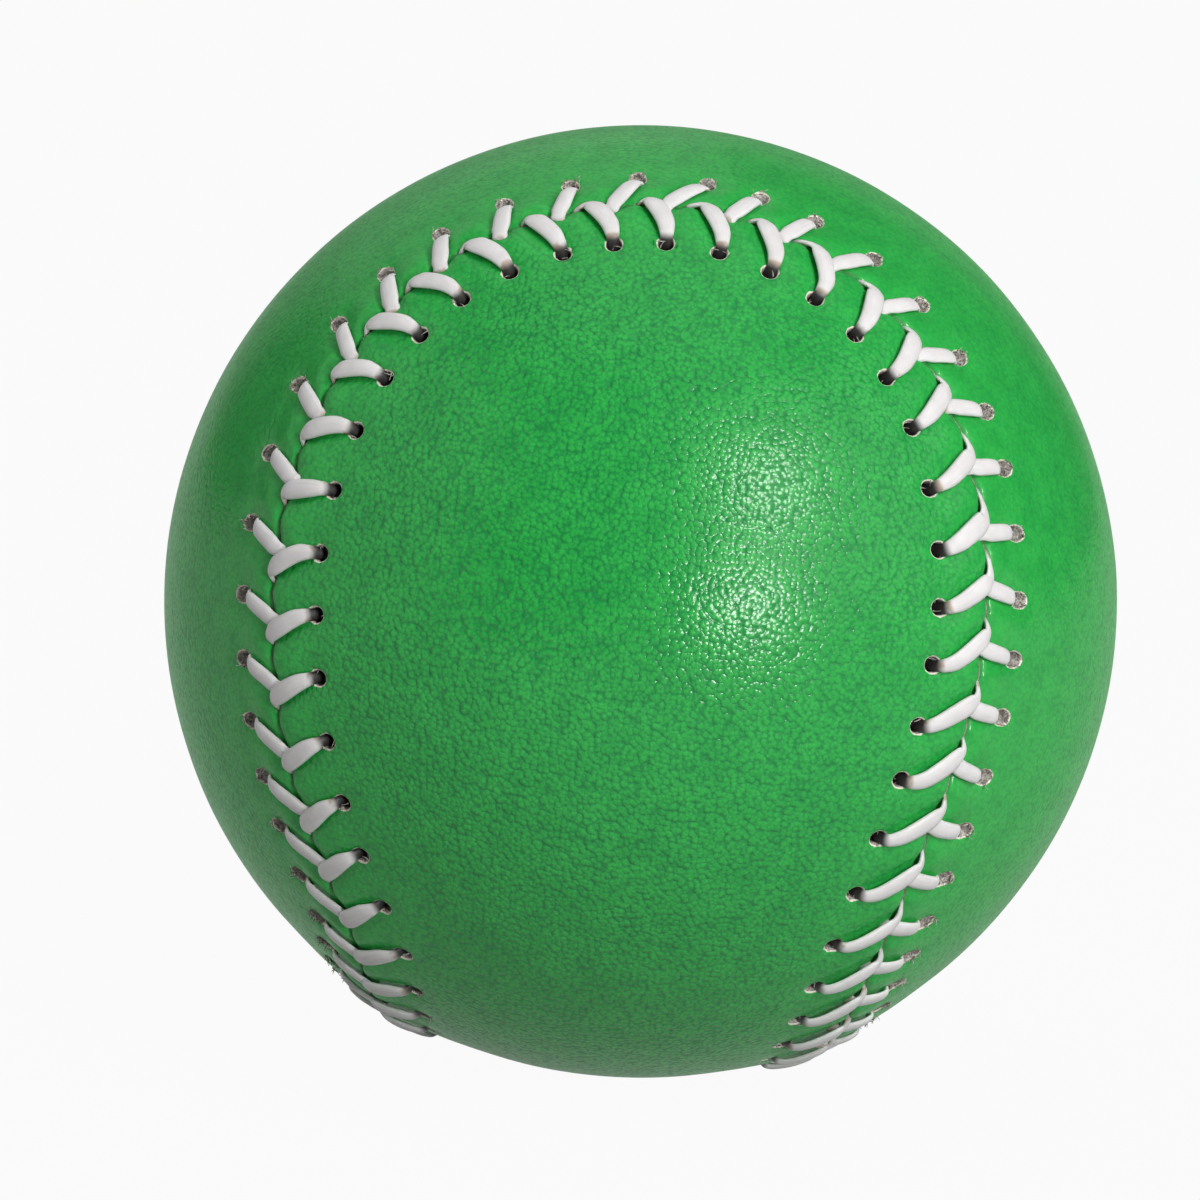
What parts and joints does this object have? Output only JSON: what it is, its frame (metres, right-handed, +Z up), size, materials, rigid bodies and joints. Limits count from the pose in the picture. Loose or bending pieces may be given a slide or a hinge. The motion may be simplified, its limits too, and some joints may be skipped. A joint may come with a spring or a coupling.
{
  "type": "baseball",
  "caption": "Green leather baseball: figure-eight panels laced together with white lace over wound yarn and a cork and rubber pill.",
  "frame": {"origin": "centre of the ball", "axes": "+Z up through the middle of the upper panel's waist, -Y to the front through the middle of the lower panel's front lobe, +X to the right"},
  "size_m": [0.0738, 0.0738, 0.0738],
  "materials": {
    "cork": "matte cork and rubber mix",
    "black_rubber": "matte",
    "red_rubber": "matte",
    "coarse_wool": "wound grey wool yarn",
    "white_wool": "wound white wool yarn",
    "fine_wool": "wound fine grey wool yarn",
    "cotton": "wound white poly and cotton yarn",
    "green_leather": "pebbled grain, satin",
    "waxed_lace": "waxed, glossy"
  },
  "bodies": {
    "root": {"cork_core": "cork", "black_shell_upper": "black_rubber", "black_shell_lower": "black_rubber", "washer_upper": "red_rubber", "washer_lower": "red_rubber", "red_shell_upper": "red_rubber", "red_shell_lower": "red_rubber", "coarse_winding": "coarse_wool", "white_winding": "white_wool", "fine_winding": "fine_wool", "finishing_winding": "cotton", "lower_panel": "green_leather", "upper_panel": "green_leather", "first_lace": "waxed_lace", "second_lace": "waxed_lace"}
  },
  "joints": []
}
